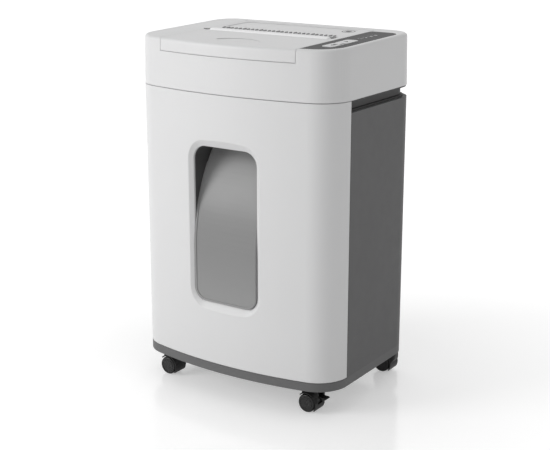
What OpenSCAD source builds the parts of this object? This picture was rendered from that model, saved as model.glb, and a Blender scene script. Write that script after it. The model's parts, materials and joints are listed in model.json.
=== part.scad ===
// Office paper shredder on four casters: a bow-fronted housing with a pull-out bin,
// a lift-up slot lid and a cross-cut cutting unit driven through a three-stage gear train.
// Millimetres. Origin at the middle of the footprint on the floor, front towards -Y, +Z up.

/* [Housing] */
// Overall width
body_w = 370; // [366:1:376]
// Overall depth, from the middle of the bowed front to the back
body_d = 267; // [264:1:270]
// How far the front bows out
front_bow = 26; // [22:1:30]
// Radius of the two upright front corners
front_r = 53; // [48:1:56]
// Radius of the two upright rear corners
rear_r = 40; // [36:1:44]
// Wall thickness of the moulded covers
wall = 3; // [2.5:0.1:3.2]

/* [Levels above the floor] */
// Underside of the base
base_z = 44; // [43.5:0.1:45]
// Bottom edge of the bin front
front_z = 58; // [57:0.5:59]
// Top edge of the side and rear panels
panel_z = 471.5; // [468:0.5:474]
// Underside of the cutting head
head_z = 489.5; // [488:0.5:491]
// Front edge of the top
top_z = 565; // [563:0.5:567]
// How much the top rises from front to back
top_rise = 5; // [4:0.5:6]

/* [Bin window] */
// Clear width of the window
window_w = 118; // [112:1:124]
// Lower edge of the window
window_low = 158; // [154:1:162]
// Upper edge of the window
window_high = 407; // [403:1:411]
// Corner radius of the window
window_r = 22; // [18:1:26]
// How far the bevel around the window spreads over its depth
bevel = 15; // [10:1:16]

/* [Lid and paper slot] */
// Width of the lid
lid_w = 246; // [244:1:248]
// How far the lid's front lip hangs below the top's front edge
lip_drop = 19.4; // [18:0.1:21]
// Length of the paper slot
slot_w = 229; // [224:1:230]
// Width of the paper slot, front to back
slot_gap = 5; // [4.6:0.1:5.6]

/* [Cutting unit] */
// Radius of the cutting discs
disc_r = 18.5; // [18:0.1:18.8]
// Distance between the two cutter shafts
shaft_gap = 34; // [33.8:0.1:34.4]
// Thickness of one cutting disc, which is the strip width
disc_t = 3.8; // [3.6:0.1:3.9]
// Distance from one disc to the next on the same shaft
disc_pitch = 8; // [8:0.1:8.1]
// Number of discs on each shaft
disc_count = 28; // [24:1:28]
// Notches around each disc
notch_count = 5; // [3:1:6]

/* [Casters] */
// Wheel diameter
wheel_d = 30; // [29:0.5:30]
// Width of one of a caster's two wheels
wheel_w = 9.5; // [8:0.5:9.5]
// How far the wheels trail behind the swivel axis
trail = 4; // [4:0.5:5]

/* [Hidden] */

// colours
white = [0.83, 0.83, 0.83];
dark_grey = [0.36, 0.36, 0.36];
panel_grey = [0.42, 0.42, 0.42];
black = [0.1, 0.1, 0.1];
pale_grey = [0.75, 0.75, 0.75];
steel = [0.6, 0.61, 0.63];
smoke = [0.5, 0.5, 0.5, 0.7];

// plan outline: a bow between two corner arcs, straight sides, rounded back
half_w = body_w / 2;
half_d = body_d / 2;
bow_r = (half_w * half_w + front_bow * front_bow) / (2 * front_bow);
bow_y = bow_r - half_d;
corner_x = half_w - front_r;
corner_y = bow_y - sqrt(pow(bow_r - front_r, 2) - corner_x * corner_x);
corner_a = asin(corner_x / (bow_r - front_r));
rear_x = half_w - rear_r;
rear_y = half_d - rear_r;
thin = 0.01;
seam = 0.8;            // reveal between neighbouring covers
fit = 0.05;            // radial running clearance of a pin in its bore
big = 600;             // longer than any side, for trimming

// head
top_tilt = atan(top_rise / body_d);
draft = 1.5;           // the head narrows by this much from its bottom to its top
edge_r = 5;            // rounding of the head's top edge
lip_z = top_z - lip_drop;
lid_half = lid_w / 2;
lid_gap = 0.5;
hinge_y = 103.5;
hinge_drop = 4.6;      // hinge axis below the top surface
bead_r = 4.4;          // radius of the lid's rear bead
hinge_pin_r = 1.5;
panel_inset = 10;      // control panel edge, measured in from the outline
panel_t = 1.8;
panel_back = 96;

// slot and throat, centred over the nip
nip_y = 1;
nip_z = 508;
slot_front = nip_y - slot_gap / 2;
guide_d = 11;          // depth of the ribbed guide behind the slot
guide_low = 12;        // how far the guide walls hang below the lid's top
cutter_rear_y = nip_y + shaft_gap / 2;
cutter_front_y = nip_y - shaft_gap / 2;
well_z = 546;          // underside of the bed below the lid
well_t = 2.5;

// keys, in the plane of the top
key_x = 140;
key_w = 20;
key_front = -79.5;
key_split = -43;
key_back = -4;
key_travel = 1.2;
key_proud = 0.8;
key_gap = 0.3;         // half the gap between the two keys
key_middles = [(key_front + key_split - key_gap) / 2, (key_split + key_gap + key_back) / 2];
switch_h = 3.6;        // height of the key switches on the board
plunger_r = 1.7;
board_drop = 14;       // top of the control board below the top surface

// bin
magnet_x = -50;        // the bin's magnet, under the reed switch
magnet_h = 9;
bay_front = -76;       // front wall of the tub and back end of the niche
tub_half = 172;
tub_back = 122;
runner_h = 4;
tub_z = front_z + runner_h;
tub_top = 440;
niche_y = -122;        // front end of the niche, behind the window's bevel

// cutting unit
plate_half = 118;      // inner faces of the two bearing plates
plate_t = 3;
core_r = 14.8;
journal_r = 6;
notch_depth = 2.4;
comb_r = core_r + 0.6;
rod_r = 4;
rod_places = [[-41, 483], [-41, 533], [45, 533]];

// gear train, drawn in the Y-Z plane and laid out from the cutters to the motor
backlash = 0.16;
sync_teeth = 20;
sync_m = shaft_gap / sync_teeth;
drive_m = 1.5;
drive_teeth = 40;
second_m = 1.25;
second_teeth = 44;
first_m = 0.8;
first_teeth = 56;
pinion_teeth = 14;
drive_gap = drive_m * (drive_teeth + pinion_teeth) / 2;
second_gap = second_m * (second_teeth + pinion_teeth) / 2;
first_gap = first_m * (first_teeth + pinion_teeth) / 2;
rear_axis = [cutter_rear_y, nip_z];
front_axis = [cutter_front_y, nip_z];
motor_axis = [92, 512];
second_a = -3;         // direction from the rear cutter to the second gear
second_axis = rear_axis + drive_gap * [cos(second_a), sin(second_a)];
to_motor = motor_axis - second_axis;
motor_reach = norm(to_motor);
first_a = atan2(to_motor[1], to_motor[0])
    + acos((second_gap * second_gap + motor_reach * motor_reach - first_gap * first_gap)
           / (2 * second_gap * motor_reach));
first_axis = second_axis + second_gap * [cos(first_a), sin(first_a)];
// tooth phases that put each pair in mesh at rest
drive_phase = 0;
second_pinion_phase = meshing(second_a, drive_phase, drive_teeth, pinion_teeth);
second_phase = second_pinion_phase;
first_pinion_phase = meshing(first_a, second_phase, second_teeth, pinion_teeth);
first_phase = first_pinion_phase;
motor_phase = meshing(atan2(motor_axis[1] - first_axis[1], motor_axis[0] - first_axis[0]),
                      first_phase, first_teeth, pinion_teeth);
sync_phase = 0;
front_sync_phase = meshing(180, sync_phase, sync_teeth, sync_teeth);
// layers along X, outside the left bearing plate
sync_x = -131;
drive_x = -140;
second_x = -148.5;
first_x = -155.5;
gear_t = 7;
first_t = 5.5;

// casters
front_stem = [137, -88];
rear_stem = [154, 119.5];
wheel_r = wheel_d / 2;
web_half = 3;          // half thickness of the hood's web between the wheels
wheel_gap = 0.5;
hood_r = wheel_r + 3;
hood_half = web_half + wheel_gap + wheel_w + 0.3;
stem_r = 4;
axle_r = 2;
lever_pin = [13.6, 27];
lever_pin_r = 1;

// ---------- shared shapes ----------

// outline of the housing seen from above, moved in by inset
module plan(inset = 0) {
    tx = (bow_r - inset) * sin(corner_a);
    ty = bow_y - (bow_r - inset) * cos(corner_a);
    side = half_w - inset;
    back = half_d - inset;
    polygon([[-tx, ty], [tx, ty], [side, corner_y], [side, rear_y], [rear_x, back],
             [-rear_x, back], [-side, rear_y], [-side, corner_y]]);
    intersection() {
        translate([0, bow_y]) circle(r = bow_r - inset, $fn = 360);
        translate([-tx, -half_d - 1]) square([2 * tx, ty + half_d + 2]);
    }
    for (s = [-1, 1]) {
        translate([s * corner_x, corner_y]) circle(r = front_r - inset, $fn = 64);
        translate([s * rear_x, rear_y]) circle(r = rear_r - inset, $fn = 64);
    }
}

// upright shell between two insets of the plan
module plan_shell(outer, inner, low, high) {
    translate([0, 0, low]) linear_extrude(high - low) difference() {
        plan(outer);
        plan(inner);
    }
}

// keeps what lies behind, or in front of, a plane across the housing
module behind(y) {
    intersection() {
        children();
        translate([-big / 2, y, 0]) cube([big, big, big]);
    }
}
module ahead(y) {
    intersection() {
        children();
        translate([-big / 2, y - big, 0]) cube([big, big, big]);
    }
}

// places children in the plane of the sloping top, whose surface is z = 0
module on_top() {
    translate([0, -half_d, top_z]) rotate([top_tilt, 0, 0]) translate([0, half_d, 0]) children();
}

// draws along X: children lie in the Y-Z plane and are extruded towards +X from x
module along_x(x, at = [0, 0]) {
    translate([x, at[0], at[1]]) rotate([90, 0, 90]) children();
}

// flat rectangle with rounded corners, from corner to corner
module rounded_rect(low, high, r) {
    size = high - low;
    translate(low + [r, 0]) square([size[0] - 2 * r, size[1]]);
    translate(low + [0, r]) square([size[0], size[1] - 2 * r]);
    for (x = [low[0] + r, high[0] - r], y = [low[1] + r, high[1] - r])
        translate([x, y]) circle(r = r, $fn = 48);
}

// smooth solid of the head: draft on the sides, rounded top edge, top rising to the back
module head_form(inset, drop, r) {
    hull() {
        translate([0, 0, head_z - drop]) linear_extrude(thin) plan(inset);
        for (a = [0 : 22.5 : 90])
            on_top() translate([0, 0, r * (sin(a) - 1) - inset - thin]) linear_extrude(thin)
                plan(inset + draft + r * (1 - cos(a)));
    }
}

// ---------- gears ----------

// phase of a gear's first tooth that meshes with a neighbour's
// direction: from the neighbour to this gear
function meshing(direction, phase, neighbour_teeth, teeth) =
    direction + 180 + 180 / teeth + (direction - phase) * neighbour_teeth / teeth;

function involute(t) = (t - atan(t) * PI / 180) * 180 / PI;

module gear_outline(m, teeth, phase) {
    pitch_r = m * teeth / 2;
    base_r = pitch_r * cos(20);
    root_r = pitch_r - 1.2 * m;
    tip_r = pitch_r + 0.85 * m;
    start_r = max(base_r, root_r);
    thick = 90 / teeth - backlash / 2 / pitch_r * 180 / PI + involute(tan(20));
    steps = 4;
    flank = [for (i = [0 : steps])
        let (r = start_r + (tip_r - start_r) * i / steps,
             a = thick - involute(sqrt(pow(r / base_r, 2) - 1)))
        [r, a]];
    foot = thick - involute(sqrt(pow(start_r / base_r, 2) - 1));
    tooth = concat([[root_r, -foot]], [for (p = flank) [p[0], -p[1]]],
                   [for (i = [steps : -1 : 0]) flank[i]], [[root_r, foot]]);
    polygon([for (n = [0 : teeth - 1], p = tooth)
        p[0] * [cos(p[1] + phase + n * 360 / teeth), sin(p[1] + phase + n * 360 / teeth)]]);
}

// toothed wheel with a bore, a hub and lightening holes in its web
module gear(x, axis, t, m, teeth, phase, bore_r, holes = 0) {
    pitch_r = m * teeth / 2;
    along_x(x, axis) difference() {
        linear_extrude(t) gear_outline(m, teeth, phase);
        translate([0, 0, -1]) cylinder(r = bore_r, h = t + 2, $fn = 48);
        if (holes > 0)
            for (n = [1 : holes])
                rotate(n * 360 / holes) translate([pitch_r * 0.6, 0, -1])
                    cylinder(r = pitch_r * 0.17, h = t + 2, $fn = 32);
    }
}

// ---------- base and casters' sockets ----------

module base_tray() color(panel_grey) {
    socket_h = front_z - base_z;
    difference() {
        union() {
            plan_shell(0, wall, base_z, front_z);
            translate([0, 0, base_z]) linear_extrude(wall) plan(wall);
            for (s = [-1, 1], p = [front_stem, rear_stem])
                translate([s * p[0], p[1], base_z]) cylinder(r = 9, h = socket_h, $fn = 48);
            // stiffening ribs, which carry the bin's runners
            for (x = [-120, -60, 60, 120])
                translate([x - 1.25, -108, base_z + wall]) cube([2.5, 236, socket_h - wall]);
            for (y = [-60, 0, 60])
                translate([-181, y - 1.25, base_z + wall]) cube([362, 2.5, 9]);
        }
        for (s = [-1, 1], p = [front_stem, rear_stem])
            translate([s * p[0], p[1], base_z - 1]) cylinder(r = stem_r + fit, h = socket_h, $fn = 48);
    }
}

module bin_runners() color(steel) {
    for (s = [-1, 1])
        translate([s * 120 - 5, -100, front_z]) difference() {
            cube([10, 215, runner_h]);
            translate([3, -1, runner_h / 2]) cube([4, 217, runner_h]);
        }
}

// ---------- cabinet ----------

// side panel with its rounded rear corner, a door return at the front and a top flange
module side_panel() {
    seam_x = rear_x - 25;
    front_y = corner_y + seam;
    union() {
        intersection() {
            union() {
                plan_shell(0, wall, front_z, panel_z);
                plan_shell(wall, 11, panel_z - 2.5, panel_z);
                plan_shell(wall, 9, front_z, front_z + 2);
            }
            translate([seam_x, front_y, 0]) cube([big, big, big]);
        }
        translate([half_w - wall - 7.5, front_y, front_z + 2]) cube([7.5, 2.5, panel_z - front_z - 4.5]);
        for (z = [140 : 80 : 400])
            translate([half_w - wall - 4, front_y + 20, z]) cube([4, 120, 2]);
    }
}
module side_panel_right() color(dark_grey) side_panel();
module side_panel_left() color(dark_grey) mirror([1, 0, 0]) side_panel();

// rear panel with a shallow pressed field and two stiffening ribs inside
module back_panel() color(dark_grey) {
    edge = rear_x - 25 - 0.2;
    difference() {
        union() {
            translate([-edge, half_d - wall, front_z]) cube([2 * edge, wall, panel_z - front_z]);
            for (x = [-60, 60])
                translate([x - 1.5, half_d - wall - 4, front_z + 2]) cube([3, 4, panel_z - front_z - 4.5]);
            translate([-edge, half_d - wall - 8, panel_z - 2.5]) cube([2 * edge, 8, 2.5]);
        }
        translate([0, half_d + 0.2, 0]) rotate([90, 0, 0]) linear_extrude(1)
            rounded_rect([-edge + 18, front_z + 24], [edge - 18, panel_z - 24], 12);
    }
}

// recessed neck between cabinet and head, with the deck that carries the cutting unit
module top_deck() color(black) {
    deck_t = 3;
    difference() {
        union() {
            translate([0, 0, panel_z]) linear_extrude(deck_t) plan(6);
            plan_shell(10, 13, panel_z + deck_t, head_z);
            behind(corner_y + 3) plan_shell(1.5, 10, head_z - 2.5, head_z);
        }
        translate([0, 0, panel_z - 1]) linear_extrude(deck_t + 2) chute_shape(0);
    }
    // chute that leads the shreds down into the tub
    translate([0, 0, panel_z - 18]) linear_extrude(18) difference() {
        chute_shape(2);
        chute_shape(0);
    }
}
module chute_shape(grow) {
    rounded_rect([4 - plate_half - grow, -38 - grow], [plate_half - 4 + grow, 42 + grow], 5 + grow);
}

// reed switch that stops the cutters while the bin, with its magnet, is out
module bin_switch() color(black)
    translate([magnet_x - 12, tub_back - 12, tub_top + magnet_h + 1]) difference() {
        cube([24, 12, panel_z - tub_top - magnet_h - 1]);
        for (x = [4, 20])
            translate([x, -1, 8]) rotate([-90, 0, 0]) cylinder(r = 1.6, h = 14, $fn = 24);
    }

// ---------- cutting head ----------

module lid_zone(gap) {
    translate([-lid_half - gap, -half_d - 10, lip_z - gap])
        cube([lid_w + 2 * gap, half_d + 10 + hinge_y, 60]);
}

module control_shape(grow = 0) {
    intersection() {
        plan(panel_inset - grow);
        rounded_rect([lid_half + 1 - grow, -half_d], [half_w, panel_back + grow], 5);
        rounded_rect([0, -half_d], [half_w - panel_inset + grow, panel_back + grow], 18);
    }
}

module key_shape(front, back, grow = 0) {
    rounded_rect([key_x - grow, front - grow], [key_x + key_w + grow, back + grow], 5);
}
module indicator_shape(grow = 0) {
    translate([key_x + key_w - 5 - grow, key_split - 13 - grow]) square([5.4 + 2 * grow, 12.4 + 2 * grow]);
}

module head_cover() color(white) {
    pad = [9, 12, 8];
    difference() {
        union() {
            difference() {
                head_form(0, 0, edge_r);
                head_form(wall, 1, edge_r - 1);
            }
            // pads that hold the lid's hinge pins
            for (s = [-1, 1])
                on_top() translate([s * (lid_half + lid_gap + pad[0] / 2) - pad[0] / 2,
                                    hinge_y - pad[1] / 2, -pad[2] - 1]) cube(pad);
            // posts that carry the control board
            for (x = [134, 160], y = [-72, 62])
                on_top() translate([x, y, -board_drop]) cylinder(r = 2.5, h = board_drop - 2, $fn = 32);
        }
        // opening for the lid and its front lip
        lid_zone(lid_gap);
        on_top() translate([-lid_half - lid_gap, 80, -wall - 7])
            cube([lid_w + 2 * lid_gap, hinge_y + bead_r + lid_gap - 80, 20]);
        // seat of the control panel, with openings for the keys
        on_top() translate([0, 0, -panel_t]) linear_extrude(10) control_shape(0.2);
        on_top() translate([0, 0, -10]) linear_extrude(12) key_shape(key_front, key_back, 0.6);
        for (p = light_places)
            on_top() translate([p[0], p[1], -10]) cylinder(r = 1.2, h = 12, $fn = 32);
        // bores of the hinge pins
        for (s = [-1, 1])
            on_top() translate([s * (lid_half + 4), hinge_y, -hinge_drop])
                rotate([0, 90, 0]) cylinder(r = hinge_pin_r, h = 8, center = true, $fn = 32);
        // cooling slots in the back, beside the inlet and the switch
        for (n = [0 : 11])
            translate([-128 + n * 9, half_d - 6, 506]) cube([4, 12, 34]);
        // cut-outs for the inlet and the switch, each with a seat for its flange
        translate([inlet_x, rear_y_face, inlet_z]) rotate([90, 0, 0]) {
            translate([-14, -10.2, -5]) cube([28, 20.4, 20]);
            translate([0, 0, -5]) linear_extrude(5 + flange_t)
                rounded_rect([-16.2, -12.7], [16.2, 12.7], 2.7);
        }
        translate([rocker_x, rear_y_face, inlet_z]) rotate([90, 0, 0]) {
            translate([-7, -10.6, -5]) cube([14, 21.2, 20]);
            translate([0, 0, -5]) linear_extrude(5 + flange_t)
                rounded_rect([-8.7, -12.4], [8.7, 12.4], 1.7);
        }
    }
}

// bed under the lid: upright walls, a front wall behind the lip and the throat to the cutters
module feed_well() color(dark_grey) {
    side = lid_half + 1;
    back = 94;
    difference() {
        union() {
            // bed and the wall behind the lip follow the bow
            intersection() {
                union() {
                    translate([0, 0, well_z]) linear_extrude(well_t) plan(5.6);
                    plan_shell(5.6, 8, lip_z - 3, top_z - 7);
                }
                translate([-side, -half_d, 0]) cube([2 * side, half_d + back, big]);
            }
            for (s = [-1, 1])
                translate([s * side + (s > 0 ? 0 : -2.2), -110, well_z]) cube([2.2, 204.4, 40]);
            translate([-side, back, well_z]) cube([2 * side, 2.4, top_z + 0.2 - well_z]);
            // collar and guide plates of the throat
            for (y = [nip_y - 7, nip_y + 5])
                translate([-slot_w / 2 - 3, y, nip_z + 18]) cube([slot_w + 6, 2, 28]);
            for (s = [-1, 1])
                translate([s * (slot_w / 2 + 2) - 1, nip_y - 7, nip_z + 19]) cube([2, 14, 27]);
        }
        translate([-slot_w / 2 - 1, nip_y - 5, nip_z + 10]) cube([slot_w + 2, 10, 60]);
        on_top() translate([-200, -200, -wall]) cube([400, 400, 40]);
    }
}

module lid_hinge_pins() color(steel)
    for (s = [-1, 1])
        on_top() translate([s * (lid_half - 1.5), hinge_y, -hinge_drop])
            rotate([0, 90, 0]) cylinder(r = hinge_pin_r, h = 18, center = true, $fn = 32);

// lift-up lid: skin and front lip cut from the head's form, slot, ridge and hinge bead
module lid() color(white) {
    slot_half = slot_w / 2;
    dish_depth = 0.6;
    ridge_r = 6;
    ridge_h = 3.2;
    ridge_y = -7;
    ridge_half = 107;
    difference() {
        union() {
            intersection() {
                difference() {
                    head_form(0, 0, edge_r);
                    head_form(wall, 1, edge_r - 1);
                }
                lid_zone(0);
            }
            on_top() {
                // hinge bead along the rear edge
                translate([-lid_half, hinge_y, -hinge_drop]) rotate([0, 90, 0])
                    cylinder(r = bead_r, h = lid_w, $fn = 48);
                // side rims
                for (s = [-1, 1])
                    translate([s * (lid_half - 1.2) - 1.2, -108, -8]) cube([2.4, 200, 6]);
                // round-ended ridge in front of the slot
                intersection() {
                    translate([0, ridge_y, ridge_h - ridge_r]) union() {
                        rotate([0, 90, 0]) cylinder(r = ridge_r, h = 2 * ridge_half, center = true, $fn = 64);
                        for (s = [-1, 1])
                            translate([s * ridge_half, 0]) sphere(r = ridge_r, $fn = 64);
                    }
                    translate([-slot_half, -26, -1]) cube([slot_w, 26 + slot_front - 3, 5]);
                }
                // guide walls below the slot
                for (y = [slot_front - 2, slot_front + slot_gap + guide_d])
                    translate([-slot_half, y, -guide_low]) cube([slot_w, 2, guide_low - 2]);
            }
        }
        on_top() {
            translate([-slot_half + 0.5, slot_front, -20]) cube([slot_w - 1, slot_gap + guide_d, 30]);
            // bevel that leads the paper in
            translate([0, slot_front, 0]) rotate([45, 0, 0]) cube([slot_w - 1, 4, 4], center = true);
            // shallow dish behind the slot
            translate([0, 0, -dish_depth]) linear_extrude(5)
                rounded_rect([-112, slot_front + slot_gap + guide_d + 4], [105, 97], 14);
            // finger scoop near the front edge
            translate([0, 0, -0.8]) linear_extrude(5) intersection() {
                translate([0, -58]) circle(r = 50, $fn = 96);
                translate([0, -118]) circle(r = 50, $fn = 96);
            }
            // notch at the left end of the slot
            translate([-121.5, ridge_y - 5, -1.2]) cube([7, 4, 5]);
            // bores for the hinge pins
            for (s = [-1, 1])
                translate([s * (lid_half - 5), hinge_y, -hinge_drop]) rotate([0, 90, 0])
                    cylinder(r = hinge_pin_r + fit, h = 12, center = true, $fn = 32);
        }
    }
}

// ribbed guide that closes the lid's mouth down to the slot
module slot_guide() color(panel_grey) {
    rib_pitch = 4.5;
    rib_t = 1.8;
    rib_top = -0.4;
    ribs = 24;
    rear = slot_front + slot_gap + guide_d;
    near = slot_front + slot_gap;
    on_top() {
        along_x(0.5 - slot_w / 2) linear_extrude(slot_w - 1)
            polygon([[near, -guide_low], [near, -5.5], [near + 1, -4.5], [rear, -4.5], [rear, -guide_low]]);
        for (n = [-ribs : ribs])
            along_x(n * rib_pitch - rib_t / 2) linear_extrude(rib_t)
                polygon([[near, -6], [near, rib_top - 2.5], [near + 2.5, rib_top], [rear, rib_top], [rear, -6]]);
    }
}

// ---------- controls ----------

module control_panel() color(panel_grey)
    on_top() translate([0, 0, -panel_t]) difference() {
        linear_extrude(panel_t) control_shape();
        translate([0, 0, -1]) linear_extrude(5) key_shape(key_front, key_back, 0.5);
        for (p = light_places)
            translate([p[0], p[1], -1]) cylinder(r = 1.2, h = 5, $fn = 32);
    }

light_places = [for (n = [0 : 3]) [146, 18 + n * 14]];

module status_lights() color(pale_grey)
    for (p = light_places)
        on_top() translate([p[0], p[1], -4]) cylinder(r = 1.2, h = 4.1, $fn = 32);

module indicator_window() color(black)
    on_top() translate([0, 0, -board_drop]) linear_extrude(board_drop + 0.2) indicator_shape(-0.4);

// key cap, with a stem and a plunger that slides in the switch below it
module key(front, back) {
    middle = (front + back) / 2;
    on_top() difference() {
        union() {
            translate([0, 0, -2.4]) linear_extrude(2.4 + key_proud) key_shape(front, back);
            translate([key_x + 4, middle - 4, -board_drop + switch_h + key_travel + 0.2])
                cube([8, 8, board_drop - switch_h - key_travel - 2]);
            translate([key_x + 8, middle, -board_drop + 0.8 + key_travel])
                cylinder(r = plunger_r, h = 6, $fn = 32);
        }
        translate([0, 0, -5]) linear_extrude(10) indicator_shape(0.2);
    }
}
module start_key() color(pale_grey) key(key_split + key_gap, key_back);
module reverse_key() color(pale_grey) key(key_front, key_split - key_gap);

module control_board() color([0.1, 0.3, 0.2])
    on_top() difference() {
        union() {
            translate([130, -84, -board_drop - 1.6]) cube([34, 156, 1.6]);
            for (y = key_middles)
                translate([key_x + 4, y - 4, -board_drop]) cube([8, 8, switch_h]);
            translate([132, 20, -board_drop - 17]) cube([24, 18, 15.5]);
            translate([134, -40, -board_drop - 13]) cube([16, 30, 11.5]);
        }
        for (x = [134, 160], y = [-72, 62])
            translate([x, y, -board_drop - 2]) cylinder(r = 1.2, h = 3, $fn = 24);
        for (y = key_middles)
            translate([key_x + 8, y, -board_drop + 0.6]) cylinder(r = plunger_r + fit, h = 6, $fn = 32);
    }

// ---------- mains inlet and switch ----------

inlet_x = 84;
inlet_z = 520;
rocker_x = 52;
rear_y_face = half_d - 0.1;
flange_t = 1.6;
rocker_tilt = 8;       // either way from level; at rest the switch is off

module chamfered(w, h, c) {
    polygon([[-w / 2, -h / 2], [w / 2, -h / 2], [w / 2, h / 2 - c], [w / 2 - c, h / 2],
             [c - w / 2, h / 2], [-w / 2, h / 2 - c]]);
}

// appliance inlet: flanged housing with a recess for the lead's connector
module mains_inlet() color(black)
    translate([inlet_x, rear_y_face, inlet_z]) rotate([90, 0, 0]) difference() {
        union() {
            linear_extrude(flange_t) rounded_rect([-16, -12.5], [16, 12.5], 2.5);
            translate([0, 0, flange_t - 0.1]) linear_extrude(22) chamfered(27.6, 20, 5);
        }
        translate([0, 0, -1]) linear_extrude(18) chamfered(24.2, 16.4, 4.5);
        for (p = [[-7, -2], [0, 2], [7, -2]])
            translate([p[0] - 1, p[1] - 2, 16]) cube([2, 4, 9]);
    }

module inlet_pins() color(steel)
    translate([inlet_x, rear_y_face, inlet_z]) rotate([90, 0, 0])
        for (p = [[-7, -2], [0, 2], [7, -2]])
            translate([p[0] - 1, p[1] - 2, 5]) cube([2, 4, 20]);

module mains_switch_body() color(black)
    translate([rocker_x, rear_y_face, inlet_z]) rotate([90, 0, 0]) difference() {
        union() {
            linear_extrude(flange_t) rounded_rect([-8.5, -12.2], [8.5, 12.2], 1.5);
            translate([-6.8, -10.4, flange_t - 0.1]) cube([13.6, 20.8, 16]);
        }
        translate([-5.4, -9.4, -1]) cube([10.8, 18.8, 9.6]);
        translate([0, 0, 3]) rotate([0, 90, 0]) cylinder(r = 1 + fit, h = 13, center = true, $fn = 32);
    }

module mains_rocker() color(black)
    translate([rocker_x, rear_y_face, inlet_z]) rotate([90, 0, 0])
        translate([0, 0, 3]) rotate([rocker_tilt, 0, 0]) {
            difference() {
                intersection() {
                    translate([-5, -8.6, -3]) cube([10, 17.2, 6]);
                    rotate([0, 90, 0]) cylinder(r = 8.8, h = 10, center = true, $fn = 64);
                }
                // hollow face, one end up and the other down
                translate([0, 0, -23.5]) rotate([0, 90, 0]) cylinder(r = 21.6, h = 12, center = true, $fn = 128);
            }
            rotate([0, 90, 0]) cylinder(r = 1, h = 13, center = true, $fn = 32);
        }

// ---------- cutting unit ----------

// shaft with its discs, turned in one piece, then notched along its length
module cutter(axis, first_disc_x, left_end, right_end) {
    discs = [for (n = [0 : disc_count - 1], k = [0 : 3])
        let (x = first_disc_x + n * disc_pitch + (k > 1 ? disc_t : 0))
        [(k == 1 || k == 2) ? disc_r : core_r, x]];
    profile = concat([[0, left_end], [journal_r, left_end], [journal_r, -plate_half + 1],
                      [core_r, -plate_half + 1]],
                     discs,
                     [[core_r, plate_half - 1], [journal_r, plate_half - 1],
                      [journal_r, right_end], [0, right_end]]);
    along_x(0, axis) difference() {
        rotate_extrude($fn = 72) polygon(profile);
        for (n = [0 : notch_count - 1])
            rotate(n * 360 / notch_count) translate([disc_r - notch_depth, 0, -plate_half + 1.5])
                rotate(-20) cube([2 * notch_depth, 3.2, 2 * plate_half - 3]);
    }
}
module rear_cutter() color(steel)
    cutter(rear_axis, -disc_pitch * disc_count / 2 + 0.1, first_x + 14, 124);
module front_cutter() color(steel)
    cutter(front_axis, -disc_pitch * disc_count / 2 + 0.1 + disc_pitch / 2, sync_x - 0.5, 124);

module rear_sync_gear() color(steel)
    gear(sync_x, rear_axis, gear_t, sync_m, sync_teeth, sync_phase, journal_r);
module front_sync_gear() color(steel)
    gear(sync_x, front_axis, gear_t, sync_m, sync_teeth, front_sync_phase, journal_r);
module drive_gear() color(steel)
    gear(drive_x, rear_axis, gear_t, drive_m, drive_teeth, drive_phase, journal_r, 5);

module second_gear() color(steel) {
    gear(drive_x, second_axis, gear_t, drive_m, pinion_teeth, second_pinion_phase, 3 + fit);
    gear(second_x, second_axis, drive_x - second_x, second_m, second_teeth, second_phase, 3 + fit, 5);
}

module first_gear() color(steel) {
    gear(second_x, first_axis, gear_t, second_m, pinion_teeth, first_pinion_phase, 3 + fit);
    gear(first_x, first_axis, second_x - first_x, first_m, first_teeth, first_phase, 3 + fit, 5);
}

module gear_axles() color(steel)
    for (p = [first_axis, second_axis])
        along_x(first_x - 3, p) cylinder(r = 3, h = -plate_half - first_x + 3, $fn = 48);

module motor_pinion() color(steel) {
    gear(first_x, motor_axis, first_t, first_m, pinion_teeth, motor_phase, 2.5);
    along_x(first_x - 1, motor_axis) cylinder(r = 2.5, h = 60, $fn = 32);
}

module motor() color(steel)
    along_x(-plate_half, motor_axis) difference() {
        union() {
            cylinder(r = 29, h = 2, $fn = 64);
            translate([0, 0, 2]) cylinder(r = 27, h = 6, $fn = 64);
            translate([0, 0, 8]) cylinder(r = 29.5, h = 74, $fn = 96);
            translate([0, 0, 82]) cylinder(r = 26, h = 8, $fn = 64);
            translate([0, 0, 90]) cylinder(r = 9, h = 6, $fn = 48);
        }
        translate([0, 0, -1]) cylinder(r = 2.5 + fit, h = 30, $fn = 32);
        for (n = [0 : 11])
            rotate(n * 30) translate([27.8, -3, 20]) cube([5, 6, 50]);
    }

module bearing_plate_shape(left) {
    difference() {
        union() {
            rounded_rect([-48, panel_z + 3], [52, 541], 6);
            if (left)
                rounded_rect([20, panel_z + 3], [119.5, 543], 8);
        }
        for (y = [cutter_front_y, cutter_rear_y])
            translate([y, nip_z]) circle(r = 9, $fn = 48);
        if (left)
            translate(motor_axis) circle(r = 6, $fn = 48);
    }
}
module bearing_plate_left() color(steel)
    along_x(-plate_half - plate_t) linear_extrude(plate_t) difference() {
        bearing_plate_shape(true);
        for (p = [first_axis, second_axis])
            translate(p) circle(r = 3, $fn = 48);
    }
module bearing_plate_right() color(steel)
    along_x(plate_half) linear_extrude(plate_t) bearing_plate_shape(false);

module cutter_bushes() color([0.7, 0.55, 0.3])
    for (x = [-plate_half - plate_t, plate_half - 0.8], y = [cutter_front_y, cutter_rear_y])
        along_x(x, [y, nip_z]) difference() {
            cylinder(r = 9, h = plate_t + 0.8, $fn = 48);
            translate([0, 0, -1]) cylinder(r = journal_r + fit, h = 10, $fn = 48);
        }

module tie_rods() color(steel)
    for (p = rod_places)
        along_x(-plate_half, p) cylinder(r = rod_r, h = 2 * plate_half, $fn = 32);

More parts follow.
